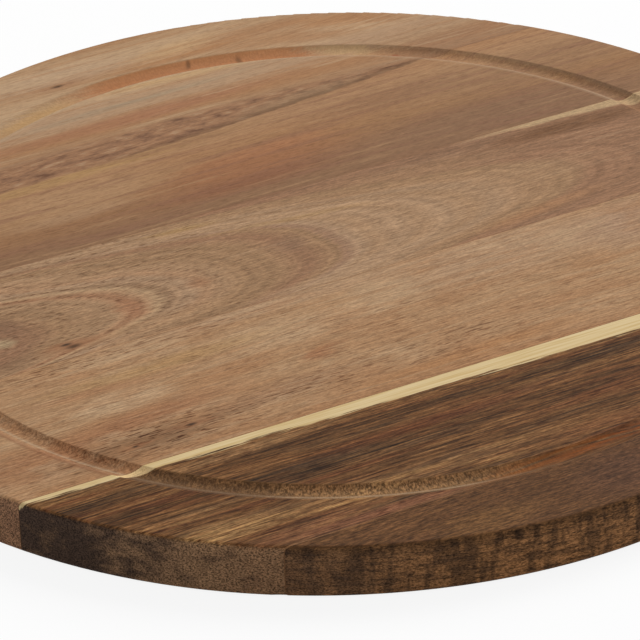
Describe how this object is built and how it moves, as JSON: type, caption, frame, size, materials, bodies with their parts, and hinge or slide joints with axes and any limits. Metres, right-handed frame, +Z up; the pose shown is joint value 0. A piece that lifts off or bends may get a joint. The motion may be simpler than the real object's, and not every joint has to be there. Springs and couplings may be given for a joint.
{
  "type": "pizza serving board",
  "caption": "Round wooden pizza serving board of edge-glued acacia staves, with softened edges and a shallow run-round groove in its flat serving face.",
  "frame": {"origin": "centre of the underside, on the surface that the board stands on", "axes": "+Z up through the serving face; X along the grain and the glue lines; +Y across the staves, from the front segment to the rear one"},
  "size_m": [0.32, 0.32, 0.016],
  "materials": {
    "acacia_rear": "oiled acacia heartwood, tan to orange-brown, satin",
    "acacia_streaked": "oiled acacia heartwood, tan with reddish and dark streaks, satin",
    "acacia_figured": "oiled flat-sawn acacia heartwood with arched figure and a sapwood edge, satin",
    "acacia_plain": "oiled acacia heartwood, light tan, satin",
    "acacia_dark": "oiled dark acacia heartwood with a pale sapwood edge, satin",
    "acacia_front": "oiled dark brown acacia heartwood, satin",
    "glue": "cured wood glue, amber brown, sanded flush"
  },
  "bodies": {
    "root": {"stave_1_rear": "acacia_rear", "stave_2_streaked": "acacia_streaked", "stave_3_figured": "acacia_figured", "stave_4_plain": "acacia_plain", "stave_5_dark": "acacia_dark", "stave_6_front": "acacia_front", "glue_line_1_2": "glue", "glue_line_2_3": "glue", "glue_line_3_4": "glue", "glue_line_4_5": "glue", "glue_line_5_6": "glue"}
  },
  "joints": []
}
